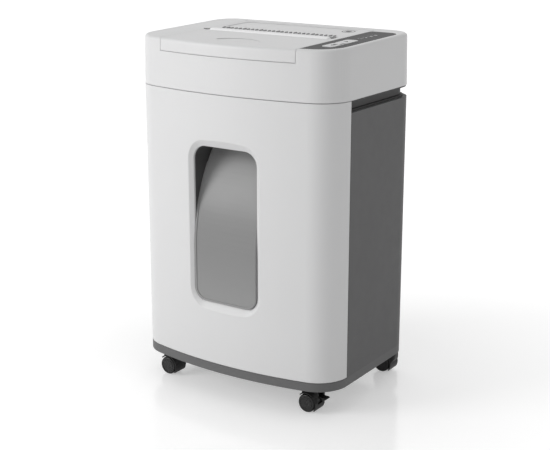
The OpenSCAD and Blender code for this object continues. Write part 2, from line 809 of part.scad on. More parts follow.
// comb whose fingers reach between the discs and strip the paper off
module comb(side, axis_y, finger_x) {
    spine = 3;
    reach = 6;
    finger = 2.6;
    low = axis_y + side * (disc_r + 1);
    difference() {
        translate([0, 0, nip_z - 9]) linear_extrude(18) union() {
            translate([-plate_half, side > 0 ? low : low - spine]) square([2 * plate_half, spine]);
            for (n = [0 : disc_count - 2])
                translate([finger_x + n * disc_pitch - finger / 2, side > 0 ? low - reach : low])
                    square([finger, reach]);
        }
        along_x(-plate_half - 1, [axis_y, nip_z]) cylinder(r = comb_r, h = 2 * plate_half + 2, $fn = 72);
    }
}
module comb_rear() color(black)
    comb(1, cutter_rear_y, -disc_pitch * disc_count / 2 + 0.1 + (disc_t + disc_pitch) / 2);
module comb_front() color(black)
    comb(-1, cutter_front_y, -disc_pitch * disc_count / 2 + 0.1 + (disc_t + disc_pitch) / 2 + disc_pitch / 2);

// ---------- pull-out bin ----------

module window_shape(grow) {
    rounded_rect([-window_w / 2 - grow, window_low - grow], [window_w / 2 + grow, window_high + grow],
                 window_r + grow);
}

// white front that wraps both corners, with a bevelled window
module bin_front() color(white) {
    high = head_z - seam;
    low = front_z + seam;
    difference() {
        union() {
            ahead(corner_y - 0.2) {
                plan_shell(0, wall, low, high);
                plan_shell(wall, 8, high - 2, high);
                plan_shell(wall, 8, low, low + 2);
            }
            // frame behind the window's bevel, and ribs that join the front to the tub
            intersection() {
                translate([0, 0, low + 1]) linear_extrude(high - low - 2) plan(wall - 0.1);
                union() {
                    translate([0, niche_y, 0]) rotate([90, 0, 0]) linear_extrude(20) window_shape(13);
                    for (s = [-1, 1])
                        translate([s * 138 - 1.5, bay_front - 60, low + 2]) cube([3, 60, tub_top - low - 2]);
                }
            }
        }
        translate([0, niche_y + 5, 0]) rotate([90, 0, 0]) linear_extrude(60) window_shape(0);
        // bevel
        hull() {
            translate([0, -half_d - 2, 0]) rotate([90, 0, 0]) linear_extrude(thin) window_shape(bevel);
            translate([0, -half_d + 8, 0]) rotate([90, 0, 0]) linear_extrude(thin) window_shape(0);
        }
    }
}

// dark surround that leads from the window back to the tub
module window_niche() color(black)
    translate([0, bay_front, 0]) rotate([90, 0, 0]) linear_extrude(bay_front - niche_y) difference() {
        window_shape(2.5);
        window_shape(0);
    }

// curved pane: upright below, then bending back to leave a hand hold in front of it
pane_y = -128;
pane_bend_z = 240;
pane_bend_r = 260;
pane_t = 2.5;
pane_rim = 3;
pane_half = window_w / 2 - 1.2;
pane_top = pane_bend_z + sqrt(pow(pane_bend_r, 2) - pow(pane_bend_r + pane_y - bay_front, 2));

function pane_arc(r, angles) = [for (a = angles) [pane_y + pane_bend_r - r * cos(a), pane_bend_z + r * sin(a)]];

// sheet that follows the pane's side profile, from `ahead` in front of its face to `deep` behind it
module pane_sheet(ahead, deep) {
    along_x(-window_w / 2) linear_extrude(window_w)
        polygon(concat([[pane_y - ahead, window_low]], pane_arc(pane_bend_r + ahead, [0 : 2 : 40]),
                       pane_arc(pane_bend_r - deep, [40 : -2 : 0]), [[pane_y + deep, window_low]]));
}

module pane_outline(inset) {
    translate([0, bay_front, 0]) rotate([90, 0, 0]) linear_extrude(half_d + bay_front)
        rounded_rect([-pane_half + inset, window_low + 1 + inset], [pane_half - inset, window_high - inset],
                     window_r - 1.2 - inset);
}

module window_pane() color(smoke) {
    intersection() {
        pane_sheet(0, pane_t);
        pane_outline(0);
    }
    // raised rim
    intersection() {
        pane_sheet(0.8, 0.5);
        difference() {
            pane_outline(0);
            pane_outline(pane_rim);
        }
    }
    // lugs behind it, held between the niche's sides
    for (s = [-1, 1], z = [190, 225])
        translate([s * (window_w / 2 - 3) - 3, pane_y + pane_t - 0.5, z]) cube([6, 5, 9]);
}

module bin_tub() color(dark_grey) {
    wall_t = 2.5;
    difference() {
        union() {
            translate([0, 0, tub_z]) linear_extrude(tub_top - tub_z)
                rounded_rect([-tub_half, bay_front], [tub_half, tub_back], 28);
            translate([0, 0, tub_top - 2.5]) linear_extrude(2.5)
                rounded_rect([-tub_half - 2, bay_front + 6], [tub_half + 2, tub_back + 2], 30);
        }
        translate([0, 0, tub_z + 3]) linear_extrude(tub_top)
            rounded_rect([-tub_half + wall_t, bay_front + wall_t], [tub_half - wall_t, tub_back - wall_t], 25.5);
        // look-through, which ends below the pane's upper edge
        translate([0, bay_front + 10, 0]) rotate([90, 0, 0]) linear_extrude(20)
            rounded_rect([4 - window_w / 2, window_low + 7], [window_w / 2 - 4, pane_top - 8], 16);
    }
    // magnet that works the reed switch
    translate([magnet_x - 8, tub_back - 8, tub_top - 1]) cube([16, 6, magnet_h + 1]);
}

// ---------- casters ----------

module at_caster(left, stem) {
    translate([left ? -stem[0] : stem[0], stem[1], 0]) children();
}

// side outline of the block that joins the hood to its stem and carries the brake
module hood_block_shape() {
    polygon([[-trail - 9, wheel_r], [-trail - 9, base_z - 3], [-trail - 8, base_z - 1], [8, base_z - 1],
             [15.6, lever_pin[1] + 4], [15.6, lever_pin[1] - 4], [12.5, wheel_r], [0, wheel_r]]);
}

// hood over the two wheels, on a stem that swivels in the base
module caster_hood(braked) color(black) {
    difference() {
        union() {
            translate([0, 0, 30]) cylinder(r = stem_r, h = front_z - 30 - 2, $fn = 48);
            translate([0, 0, 30]) cylinder(r = 10, h = base_z - 30, $fn = 48);
            rotate([90, 0, 0]) translate([0, 0, -11]) linear_extrude(22) hood_block_shape();
            translate([-trail, 0, wheel_r]) rotate([90, 0, 0])
                cylinder(r = hood_r, h = 2 * hood_half, center = true, $fn = 64);
        }
        // space for each wheel, beside the web
        for (s = [-1, 1])
            translate([-trail, s * (web_half + 10), wheel_r]) rotate([90, 0, 0])
                cylinder(r = hood_r - 1.8, h = 20, center = true, $fn = 64);
        // open below and behind
        translate([-trail, 0, wheel_r]) rotate([0, 35, 0])
            translate([-40, -20, -40]) cube([80, 40, 40 - 3]);
        translate([-trail - 46, -20, -5]) cube([34, 40, wheel_r + 13]);
        translate([-40, -20, -1]) cube([80, 40, 6]);
        translate([-trail, 0, wheel_r]) rotate([90, 0, 0])
            cylinder(r = axle_r + fit, h = 20, center = true, $fn = 32);
        if (braked) {
            // slot for the brake lever and bore for its pin
            translate([lever_pin[0] - 2.4, -6.6, lever_pin[1] - 12]) cube([30, 13.2, 20]);
            translate([lever_pin[0], 0, lever_pin[1]]) rotate([90, 0, 0])
                cylinder(r = lever_pin_r + fit, h = 24, center = true, $fn = 32);
        }
    }
}

// two wheels with rounded treads, closed outer faces and a step where the tread meets the face
module caster_wheels() color(black)
    for (s = [-1, 1])
        translate([-trail, s * (web_half + wheel_gap), wheel_r]) rotate([s * -90, 0, 0])
            rotate_extrude($fn = 64) difference() {
                union() {
                    square([wheel_r - 1.5, wheel_w - 1.2]);
                    translate([0, 1.5]) square([wheel_r, wheel_w - 4.5]);
                    translate([wheel_r - 1.5, 1.5]) circle(r = 1.5, $fn = 24);
                    translate([wheel_r - 3, wheel_w - 3]) circle(r = 3, $fn = 32);
                    square([wheel_r - 3, wheel_w]);
                }
                square([axle_r, wheel_w - 2]);
                translate([wheel_r - 5.2, wheel_w - 0.5]) square([1, 2]);
            }

module caster_axle() color(steel)
    translate([-trail, 0, wheel_r]) rotate([90, 0, 0])
        cylinder(r = axle_r, h = 2 * (web_half + wheel_gap + wheel_w - 2), center = true, $fn = 32);

// foot brake hinged in front of the hood
module brake_lever() color(black)
    translate([lever_pin[0], 0, lever_pin[1]]) {
        rotate([90, 0, 0]) cylinder(r = lever_pin_r, h = 20, center = true, $fn = 32);
        rotate([90, 0, 0]) cylinder(r = 2, h = 12.8, center = true, $fn = 32);
        rotate([0, 8, 0]) rotate([90, 0, 0]) translate([0, 0, -6]) linear_extrude(12)
            polygon([[0, -1.6], [0, 2], [7, 1.8], [12.5, 2.6], [14, 1.8], [13.6, 0.4], [8, -1.2]]);
    }

module caster_hood_fl() at_caster(true, front_stem) caster_hood(false);
module caster_hood_fr() at_caster(false, front_stem) caster_hood(true);
module caster_hood_rl() at_caster(true, rear_stem) caster_hood(true);
module caster_hood_rr() at_caster(false, rear_stem) caster_hood(false);
module caster_wheels_fl() at_caster(true, front_stem) caster_wheels();
module caster_wheels_fr() at_caster(false, front_stem) caster_wheels();
module caster_wheels_rl() at_caster(true, rear_stem) caster_wheels();
module caster_wheels_rr() at_caster(false, rear_stem) caster_wheels();
module caster_axle_fl() at_caster(true, front_stem) caster_axle();
module caster_axle_fr() at_caster(false, front_stem) caster_axle();
module caster_axle_rl() at_caster(true, rear_stem) caster_axle();
module caster_axle_rr() at_caster(false, rear_stem) caster_axle();
module brake_lever_fr() at_caster(false, front_stem) brake_lever();
module brake_lever_rl() at_caster(true, rear_stem) brake_lever();

base_tray();
side_panel_left();
side_panel_right();
back_panel();
top_deck();
bin_runners();
head_cover();
feed_well();
lid_hinge_pins();
control_panel();
control_board();
status_lights();
indicator_window();
start_key();
reverse_key();
mains_inlet();
inlet_pins();
mains_switch_body();
mains_rocker();
bin_switch();
motor();
motor_pinion();
bearing_plate_left();
bearing_plate_right();
tie_rods();
cutter_bushes();
comb_front();
comb_rear();
gear_axles();
first_gear();
second_gear();
drive_gear();
rear_cutter();
rear_sync_gear();
front_cutter();
front_sync_gear();
lid();
slot_guide();
bin_front();
window_niche();
window_pane();
bin_tub();
caster_hood_fl();
caster_hood_fr();
caster_hood_rl();
caster_hood_rr();
caster_wheels_fl();
caster_wheels_fr();
caster_wheels_rl();
caster_wheels_rr();
caster_axle_fl();
caster_axle_fr();
caster_axle_rl();
caster_axle_rr();
brake_lever_fr();
brake_lever_rl();
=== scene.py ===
"""An office paper shredder on casters, dressed for a plain studio view."""
import json
import math

import bpy
from mathutils import Matrix, Vector


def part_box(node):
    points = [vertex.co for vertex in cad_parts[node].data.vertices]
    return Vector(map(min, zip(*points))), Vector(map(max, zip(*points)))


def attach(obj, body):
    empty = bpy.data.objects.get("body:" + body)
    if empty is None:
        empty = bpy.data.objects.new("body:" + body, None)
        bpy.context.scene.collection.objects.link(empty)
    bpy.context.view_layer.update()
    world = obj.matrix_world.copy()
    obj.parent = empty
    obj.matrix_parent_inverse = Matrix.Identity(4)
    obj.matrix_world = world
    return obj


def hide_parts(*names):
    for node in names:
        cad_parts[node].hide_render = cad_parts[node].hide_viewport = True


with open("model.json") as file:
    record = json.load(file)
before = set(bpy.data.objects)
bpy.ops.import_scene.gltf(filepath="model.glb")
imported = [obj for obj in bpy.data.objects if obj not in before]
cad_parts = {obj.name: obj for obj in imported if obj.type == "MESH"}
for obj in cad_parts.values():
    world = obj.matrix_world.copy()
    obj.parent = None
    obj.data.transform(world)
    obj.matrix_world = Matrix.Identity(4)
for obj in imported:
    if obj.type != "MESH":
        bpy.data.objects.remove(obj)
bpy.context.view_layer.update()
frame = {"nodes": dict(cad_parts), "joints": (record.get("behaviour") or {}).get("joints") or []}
nodes = frame["nodes"]
MM = 0.001
# what the lamps face
MACHINE_MIDDLE = Vector((0, 0, 0.3))
# edges flatter than this are shaded smooth
SMOOTH_ANGLE = math.radians(35)
# how deep a raised mark is let into what it sits on
SUNK = 0.02 * MM
# depth of the shallow dish behind the slot
DISH = 0.6 * MM


# ---------------------------------------------------------------- shader arithmetic

class Tone:
    """A shader value. Arithmetic on it adds Math nodes to the graph it belongs to."""

    def __init__(self, graph, socket):
        self.graph = graph
        self.socket = socket

    def _math(self, operation, first, second):
        """The result of a Math node on two values."""
        node = self.graph.add("ShaderNodeMath", {"operation": operation}, [first, second])
        return Tone(self.graph, node.outputs[0])

    def __add__(self, other):
        return self._math("ADD", self, other)

    def __radd__(self, other):
        return self._math("ADD", other, self)

    def __mul__(self, other):
        return self._math("MULTIPLY", self, other)

    def __rmul__(self, other):
        return self._math("MULTIPLY", other, self)

    def __rsub__(self, other):
        return self._math("SUBTRACT", other, self)

    def above(self, edge):
        """1 where the value is over the edge, and 0 elsewhere."""
        return self._math("GREATER_THAN", self, edge)


class Graph:
    """The nodes of a material or of the world."""

    def __init__(self, tree):
        self.tree = tree

    def add(self, kind, settings=None, sockets=None):
        """A node of that kind: settings first, then its sockets, by name or in order."""
        node = self.tree.nodes.new(kind)
        for key, value in (settings or {}).items():
            setattr(node, key, value)
        pairs = sockets.items() if isinstance(sockets, dict) else enumerate(sockets or [])
        for key, value in pairs:
            self.plug(node.inputs[key], value)
        return node

    def plug(self, socket, value):
        """Links a value that varies to the socket, or sets a constant on it."""
        if isinstance(value, Tone):
            value = value.socket
        if isinstance(value, bpy.types.NodeSocket):
            self.tree.links.new(value, socket)
        else:
            socket.default_value = value

    def share(self, value, low, high, least=0.0, most=1.0):
        """From least, with the value at low or before it, to most, at high or past it."""
        node = self.add("ShaderNodeMapRange", {}, [value, low, high, least, most])
        return Tone(self, node.outputs[0])

    def seen(self):
        """1 for a ray that looks at the scene: straight, mirrored or through something clear."""
        rays = self.add("ShaderNodeLightPath").outputs
        straight = Tone(self, rays["Is Camera Ray"])
        return straight + rays["Is Glossy Ray"] + rays["Is Transmission Ray"]


class Finish(Graph):
    def __init__(self, name):
        self.material = bpy.data.materials.new(name)
        self.material.use_nodes = True
        super().__init__(self.material.node_tree)
        self.shader = self.tree.nodes["Principled BSDF"]
        self.place = self.add("ShaderNodeTexCoord").outputs["Object"]

    def noise(self, size, detail=2.0, stretch=(1, 1, 1)):
        """Noise whose blotches are about size metres across, from 0 to 1."""
        spread = self.add("ShaderNodeMapping", {}, {"Vector": self.place, "Scale": stretch})
        sockets = {"Vector": spread.outputs[0], "Scale": 1 / size, "Detail": detail}
        return Tone(self, self.add("ShaderNodeTexNoise", {}, sockets).outputs["Fac"])

    def pits(self, size):
        """Distance to the nearest of many points about size metres apart, as in a moulded grain."""
        node = self.add("ShaderNodeTexVoronoi", {}, {"Vector": self.place, "Scale": 1 / size})
        return Tone(self, node.outputs["Distance"])

    def along(self, axis):
        """The place along one axis, in metres."""
        split = self.add("ShaderNodeSeparateXYZ", {}, [self.place])
        return Tone(self, split.outputs[axis])

    def mix(self, share, first, second):
        """A colour between two colours."""
        node = self.add("ShaderNodeMix", {"data_type": "RGBA"},
                        {"Factor": share, "A": first, "B": second})
        return node.outputs["Result"]

    def mottle(self, colour, by, amount):
        """The colour, lighter and darker by up to amount."""
        return self.mix(by, shade(colour, 1 - amount), shade(colour, 1 + amount))

    def relief(self, height, depth, round_edge):
        """A normal from a height of that depth in metres, over edges rounded by round_edge."""
        edges = self.add("ShaderNodeBevel", {"samples": 6}, {"Radius": round_edge})
        sockets = {"Height": height, "Distance": depth, "Strength": 1.0,
                   "Normal": edges.outputs[0]}
        return self.add("ShaderNodeBump", {}, sockets).outputs[0]

    def finish(self, **sockets):
        """The material, with each named socket of its shader plugged."""
        for key, value in sockets.items():
            self.plug(self.shader.inputs[key.replace("_", " ")], value)
        return self.material


def shade(colour, factor):
    """The colour times a factor, no channel over 1."""
    return tuple(min(1.0, part * factor) for part in colour[:3]) + (1.0,)


def grey(level, blue=1.0):
    """A neutral colour, its blue channel times blue."""
    return (level, level, level * blue, 1.0)


# ---------------------------------------------------------------- finishes

def satin_shell(name, level):
    """Moulded white: a faint sink-mark ripple, fingertip-dull patches and dust below."""
    f = Finish(name)
    ripple = f.mottle(grey(level, blue=1.004), f.noise(size=0.12), amount=0.012)
    dust = 0.10 * f.share(f.along("Z"), low=0.12, high=0.04) * f.noise(size=0.006, detail=5.0)
    return f.finish(
        Base_Color=f.mix(dust, ripple, grey(0.45, blue=0.96)),
        Roughness=0.38 + 0.10 * f.noise(size=0.02, detail=4.0),
        Coat_Weight=0.08,
        Coat_Roughness=0.2,
        Normal=f.relief(f.noise(size=0.0016), depth=0.00002, round_edge=0.002),
    )


def grained(name, level, size=0.0009, rough=0.5, gloss=0.5):
    """Moulded plastic with a fine leather grain, a little shinier where it is handled."""
    f = Finish(name)
    return f.finish(
        Base_Color=f.mottle(grey(level, blue=1.01), f.noise(size=0.05), amount=0.05),
        Roughness=rough + 0.14 * f.noise(size=0.015, detail=4.0),
        Specular_IOR_Level=gloss,
        Normal=f.relief(f.pits(size), depth=0.00006, round_edge=0.0005),
    )


def satin(name, level, rough=0.3, coat=0.1, gloss=0.5):
    """Smooth moulded plastic."""
    f = Finish(name)
    return f.finish(
        Base_Color=f.mottle(grey(level, blue=1.01), f.noise(size=0.03), amount=0.03),
        Roughness=rough + 0.06 * f.noise(size=0.008),
        Specular_IOR_Level=gloss,
        Coat_Weight=coat,
        Coat_Roughness=0.1,
        Normal=f.relief(f.noise(size=0.0012), depth=0.00001, round_edge=0.0004),
    )


def metal(name, colour, rough=0.3, stretch=(1, 1, 1)):
    """Bare metal with machining marks along one direction and thin stains of oil."""
    f = Finish(name)
    marks = f.noise(size=0.0006, detail=3.0, stretch=stretch)
    stain = f.noise(size=0.009, detail=4.0)
    return f.finish(
        Base_Color=f.mottle(colour, stain, amount=0.12),
        Metallic=1.0,
        Roughness=rough + 0.16 * marks + 0.08 * stain,
        Normal=f.relief(marks, depth=0.00001, round_edge=0.0003),
    )


def oiled_cutters():
    """Hardened discs: mottled steel with machining marks, and pale paper dust between them."""
    f = Finish("oiled_cutters")
    marks = f.noise(size=0.0005, detail=3.0, stretch=(0.15, 1, 1))
    dust = 0.35 * f.noise(size=0.004, detail=6.0).above(0.62)
    steel = f.mottle(grey(0.36), f.noise(size=0.007), amount=0.2)
    return f.finish(
        Base_Color=f.mix(dust, steel, grey(0.62, blue=0.95)),
        Metallic=1 - dust,
        Roughness=0.26 + 0.2 * marks + 0.5 * dust,
        Normal=f.relief(marks, depth=0.00001, round_edge=0.0002),
    )


def deck_plastic():
    """Near-black neck whose flat ledge, down beside the panels, is darker than its walls: painted
    shade in the gap under the head.
    """
    f = Finish("deck_grain")
    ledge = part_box("side_panel_right")[1].z + 3.4 * MM
    return f.finish(
        # painted shade: below this height the ledge is near-black, the walls above it dark grey
        Base_Color=f.mix(f.along("Z").above(ledge), grey(0.012), grey(0.05)),
        Roughness=0.55 + 0.12 * f.noise(size=0.02),
        Normal=f.relief(f.pits(size=0.0009), depth=0.00005, round_edge=0.0004),
    )


def smoked_pane():
    """Smoke-coloured clear plastic over the dark tub, with painted light and shade: darker at the
    middle, which faces the light, and palest at its bent upper end, which the niche shades.
    """
    f = Finish("smoked_pane")
    low, high = (corner.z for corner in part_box("window_pane"))
    middle = (low + high) / 2
    height = f.along("Z")
    dust = f.share(height, low + 0.05, low) * f.noise(size=0.01, detail=5.0)
    # painted light and shade: the middle, lit from above, is painted darker and the bent upper end,
    # in the niche's shade, paler
    lower = f.mix(f.share(height, low, middle), grey(0.31), grey(0.245))
    painted_light_tone = f.mix(f.share(height, middle + 0.02, high), lower, grey(0.44))
    return f.finish(
        Base_Color=f.mix(0.2 * dust, painted_light_tone, grey(0.42)),
        Roughness=0.42 + 0.08 * f.noise(size=0.03) + 0.1 * dust,
        Alpha=0.94,
        Normal=f.relief(f.noise(size=0.006), depth=0.00001, round_edge=0.0005),
    )


white = satin_shell("satin_shell", 0.76)
# painted highlight: a brighter white for the ridge's front slope, which catches the lamp
ridge_highlight_white = satin_shell("ridge_highlight_shell", 0.94)
panel_grain = grained("side_panel_grain", 0.12, size=0.0007, gloss=0.35)
skirt_grain = grained("skirt_grain", 0.14, size=0.0007, gloss=0.35)
neck_grain = deck_plastic()
bin_grain = grained("bin_grain", 0.09)
niche_grain = grained("niche_grain", 0.062, rough=0.42)
black_grain = grained("black_grain", 0.008, rough=0.36, gloss=0.22)
wheel_nylon = satin("wheel_nylon", 0.006, rough=0.24, coat=0.0, gloss=0.28)
panel_satin = satin("control_panel_satin", 0.036, rough=0.5, coat=0.0, gloss=0.25)
key_satin = satin("key_satin", 0.66, rough=0.34)
lens_satin = satin("light_lens", 0.34, rough=0.2, coat=0.5)
smoked_lens = satin("indicator_lens", 0.02, rough=0.08, coat=0.6)
well_grain = grained("feed_well_grain", 0.035, rough=0.45)
guide_satin = satin("slot_guide_satin", 0.24, rough=0.4)
print_grey = satin("printed_mark", 0.14, rough=0.5, coat=0.0, gloss=0.3)
rib_grey = satin("rib_satin", 0.30, rough=0.5, coat=0.0)
seal_rubber = satin("pane_seal_rubber", 0.3, rough=0.6, coat=0.0, gloss=0.3)
mark_white = satin("moulded_mark", 0.7, rough=0.4)
zinc = metal("zinc_plate", (0.56, 0.57, 0.58))
gear_steel = metal("gear_steel", (0.42, 0.42, 0.43), rough=0.26, stretch=(0.2, 1, 1))
nickel = metal("nickel_pin", (0.72, 0.71, 0.69), rough=0.14)
bronze = metal("sintered_bronze", (0.50, 0.33, 0.16), rough=0.34)
black_screw = metal("blackened_screw", (0.05, 0.05, 0.052), rough=0.36)
cutter_steel = oiled_cutters()
motor_enamel = satin("motor_enamel", 0.03, rough=0.4)
board_mask = satin("circuit_board", 0.06, rough=0.35)
pane_smoke = smoked_pane()

FINISHES = {
    white: ("head_cover", "lid", "bin_front"),
    panel_grain: ("side_panel_left", "side_panel_right", "back_panel"),
    skirt_grain: ("base_tray",),
    neck_grain: ("top_deck",),
    bin_grain: ("bin_tub",),
    niche_grain: ("window_niche",),
    well_grain: ("feed_well",),
    black_grain: ("mains_inlet", "mains_switch_body", "mains_rocker", "bin_switch",
                  "comb_front", "comb_rear", "caster_hood", "brake_lever"),
    wheel_nylon: ("caster_wheels",),
    panel_satin: ("control_panel",),
    guide_satin: ("slot_guide",),
    key_satin: ("start_key", "reverse_key"),
    lens_satin: ("status_lights",),
    smoked_lens: ("indicator_window",),
    zinc: ("bin_runners", "bearing_plate_left", "bearing_plate_right", "tie_rods"),
    cutter_steel: ("rear_cutter", "front_cutter"),
    gear_steel: ("rear_sync_gear", "front_sync_gear", "drive_gear", "first_gear", "second_gear",
                 "motor_pinion"),
    nickel: ("lid_hinge_pins", "inlet_pins", "gear_axles", "caster_axle"),
    bronze: ("cutter_bushes",),
    motor_enamel: ("motor",),
    board_mask: ("control_board",),
    pane_smoke: ("window_pane",),
}
CORNER_TAGS = ("_fl", "_fr", "_rl", "_rr")
for material, names in FINISHES.items():
    for name, node in nodes.items():
        if name in names or (name.endswith(CORNER_TAGS) and name[:-3] in names):
            for place in node.material_slots:
                place.material = material


# ---------------------------------------------------------------- modelling in Blender

def only(piece):
    """Makes the piece the one that is selected and active."""
    bpy.ops.object.select_all(action="DESELECT")
    piece.select_set(True)
    bpy.context.view_layer.objects.active = piece


def start(name, add, **settings):
    """A new primitive, alone selected and active."""
    bpy.ops.object.select_all(action="DESELECT")
    add(**settings)
    piece = bpy.context.object
    piece.name = name
    piece.data.name = name
    return piece


def open_whole():
    """Edit mode with all of the active piece selected."""
    bpy.ops.object.mode_set(mode="EDIT")
    bpy.ops.mesh.select_all(action="SELECT")


def choose(piece, wanted, kind="FACE"):
    """Edit mode with only those faces or vertices selected that wanted says."""
    bpy.ops.object.mode_set(mode="EDIT")
    bpy.ops.mesh.select_mode(type=kind)
    bpy.ops.mesh.select_all(action="DESELECT")
    bpy.ops.object.mode_set(mode="OBJECT")
    parts = piece.data.polygons if kind == "FACE" else piece.data.vertices
    for part in parts:
        part.select = bool(wanted(part))
    bpy.ops.object.mode_set(mode="EDIT")


def close():
    """Back to object mode."""
    bpy.ops.object.mode_set(mode="OBJECT")


def seat(piece, place, material, body):
    """Gives a finished piece its place in its mesh, its finish and the body it rides on."""
    only(piece)
    piece.matrix_world = place
    bpy.ops.object.transform_apply(location=True, rotation=True, scale=True)
    bpy.ops.object.shade_smooth_by_angle(angle=SMOOTH_ANGLE)
    piece.data.materials.clear()
    piece.data.materials.append(material)
    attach(piece, body)


def top_place():
    """The frame of the sloping top: x and y as on the plan, z out of the surface."""
    down = next(Vector(j["axis"]) for j in frame["joints"] if j["name"] == "start_press")
    up = -down.normalized()
    half_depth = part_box("side_panel_left")[1].y
    level = max(up.dot(v.co) for v in nodes["control_panel"].data.vertices)
    tilt = math.atan2(-up.y, up.z)
    front_z = (level - half_depth * math.sin(tilt)) / math.cos(tilt)
    return (Matrix.Translation((0, -half_depth, front_z)) @ Matrix.Rotation(tilt, 4, "X")
            @ Matrix.Translation((0, half_depth, 0)))


TOP = top_place()
FACING_BACK = Matrix.Rotation(math.radians(-90), 4, "X")


def on_top(name):
    """The corners of a node, in the frame of the sloping top."""
    return [TOP.inverted() @ corner.co for corner in nodes[name].data.vertices]


def middle(values):
    """Halfway between the least and the greatest of them."""
    values = list(values)
    return (min(values) + max(values)) / 2


# ---------------------------------------------------------------- screws

def screw_master():
    """A low pan head with a six-lobed recess."""
    radius, height = 2.6 * MM, 1.0 * MM
    # the upward part of a face's normal from which the face counts as level
    level = 0.999
    piece = start("screw_master", bpy.ops.mesh.primitive_cylinder_add, vertices=24,
                  radius=radius, depth=height, location=(0, 0, height / 2))
    choose(piece, lambda face: face.normal.z > level)
    bpy.ops.mesh.bevel(offset=0.55 * height, segments=3, affect="EDGES")
    choose(piece, lambda face: face.normal.z > level)
    bpy.ops.mesh.inset(thickness=0.28 * radius)
    close()
    crown = max(piece.data.polygons, key=lambda face: (face.normal.z > level) * len(face.vertices))
    crown_area = crown.area
    lobes = {number for spot, number in enumerate(crown.vertices) if spot % 4 < 2}
    choose(piece, lambda corner: corner.index in lobes, "VERT")
    bpy.ops.transform.resize(value=(0.66, 0.66, 1))
    # only the lobed face is level, smaller than before and has more corners than a quad
    choose(piece, lambda face: face.normal.z > level and face.area < crown_area
           and len(face.vertices) > 4)
    bpy.ops.mesh.extrude_region_move(TRANSFORM_OT_translate={"value": (0, 0, -0.7 * height)})
    bpy.ops.transform.resize(value=(0.9, 0.9, 1))
    close()
    return piece


def fasten():
    """Screws on the back panel's rim, along the back of the head and under the base."""
    sunk, head_sunk = 0.15 * MM, 0.35 * MM
    panel_levels = (0.08, 0.36, 0.64, 0.92)
    head_xs = (-148 * MM, 118 * MM)
    base_xs = (-90 * MM, 0, 90 * MM)
    base_ys = (-30 * MM, 90 * MM)
    panel_low, panel_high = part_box("back_panel")
    head_low, head_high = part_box("head_cover")
    base_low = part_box("base_tray")[0]
    rim_x = panel_high.x - 9 * MM
    head_z = head_low.z + 8 * MM
    turn_over = Matrix.Rotation(math.pi, 4, "X")
    spots = []
    for level in panel_levels:
        z = panel_low.z + level * (panel_high.z - panel_low.z)
        for x in (-rim_x, rim_x):
            spots.append(("back", "side_panel", (x, panel_high.y - sunk, z), FACING_BACK))
    for x in head_xs:
        spots.append(("head", "white_shell", (x, head_high.y - head_sunk, head_z), FACING_BACK))
    for x in base_xs:
        for y in base_ys:
            spots.append(("base", "skirt", (x, y, base_low.z + sunk), turn_over))
    master = screw_master()
    for number, (where, slot, spot, turn) in enumerate(spots):
        name = f"{where}_screw_{number + 1}"
        twin = bpy.data.objects.new(name, master.data.copy())
        twin.data.name = name
        bpy.context.collection.objects.link(twin)
        seat(twin, Matrix.Translation(spot) @ turn, black_screw, "cabinet")
    bpy.data.objects.remove(master)


# ---------------------------------------------------------------- marks

def bar_points(wide, deep):
    """A rectangle round the middle."""
    return [(-wide / 2, -deep / 2), (wide / 2, -deep / 2), (wide / 2, deep / 2),
            (-wide / 2, deep / 2)]


def arrow_points(length, width):
    """A triangle that points to +Y."""
    return [(-width / 2, -length / 2), (width / 2, -length / 2), (0, length / 2)]


def soft_plate(name, points, thick, edge):
    """A thin moulded mark: a flat outline, raised by thick, with a rounded upper edge."""
    piece = start(name, bpy.ops.mesh.primitive_circle_add, vertices=len(points), radius=1,
                  fill_type="NGON")
    for corner, (x, y) in zip(piece.data.vertices, points):
        corner.co = (x, y, 0)
    open_whole()
    bpy.ops.mesh.extrude_region_move(TRANSFORM_OT_translate={"value": (0, 0, thick)})
    bpy.ops.mesh.bevel(offset=edge, segments=2, affect="EDGES")
    bpy.ops.mesh.select_all(action="SELECT")
    bpy.ops.mesh.normals_make_consistent(inside=False)
    close()
    return piece


def ring_plate(name, outer, inner, thick):
    """A thin raised ring with a rounded crown."""
    piece = start(name, bpy.ops.mesh.primitive_torus_add, major_segments=64, minor_segments=12,
                  major_radius=(outer + inner) / 2, minor_radius=(outer - inner) / 2)
    open_whole()
    bpy.ops.transform.resize(value=(1, 1, thick * 2 / (outer - inner)))
    close()
    return piece


def key_marks():
    """Raised arrows on the keys: single for start, double and turned for reverse."""
    pitch, thick, edge = 6.5 * MM, 0.22 * MM, 0.1 * MM
    rim_depth = 0.1 * MM
    for key, body, turn, count in (("start_key", "start_button", 0, 1),
                                   ("reverse_key", "reverse_button", math.pi, 2)):
        corners = on_top(key)
        high = max(corner.z for corner in corners)
        rim = [corner for corner in corners if corner.z > high - rim_depth]
        x = middle(corner.x for corner in rim)
        y = middle(corner.y for corner in rim)
        for number in range(count):
            mark = soft_plate(f"{key}_arrow_{number + 1}", arrow_points(7 * MM, 8 * MM),
                              thick, edge)
            shift = (number - (count - 1) / 2) * pitch
            place = TOP @ Matrix.Translation((x, y + shift, high - SUNK))
            seat(mark, place @ Matrix.Rotation(turn, 4, "Z"), print_grey, body)


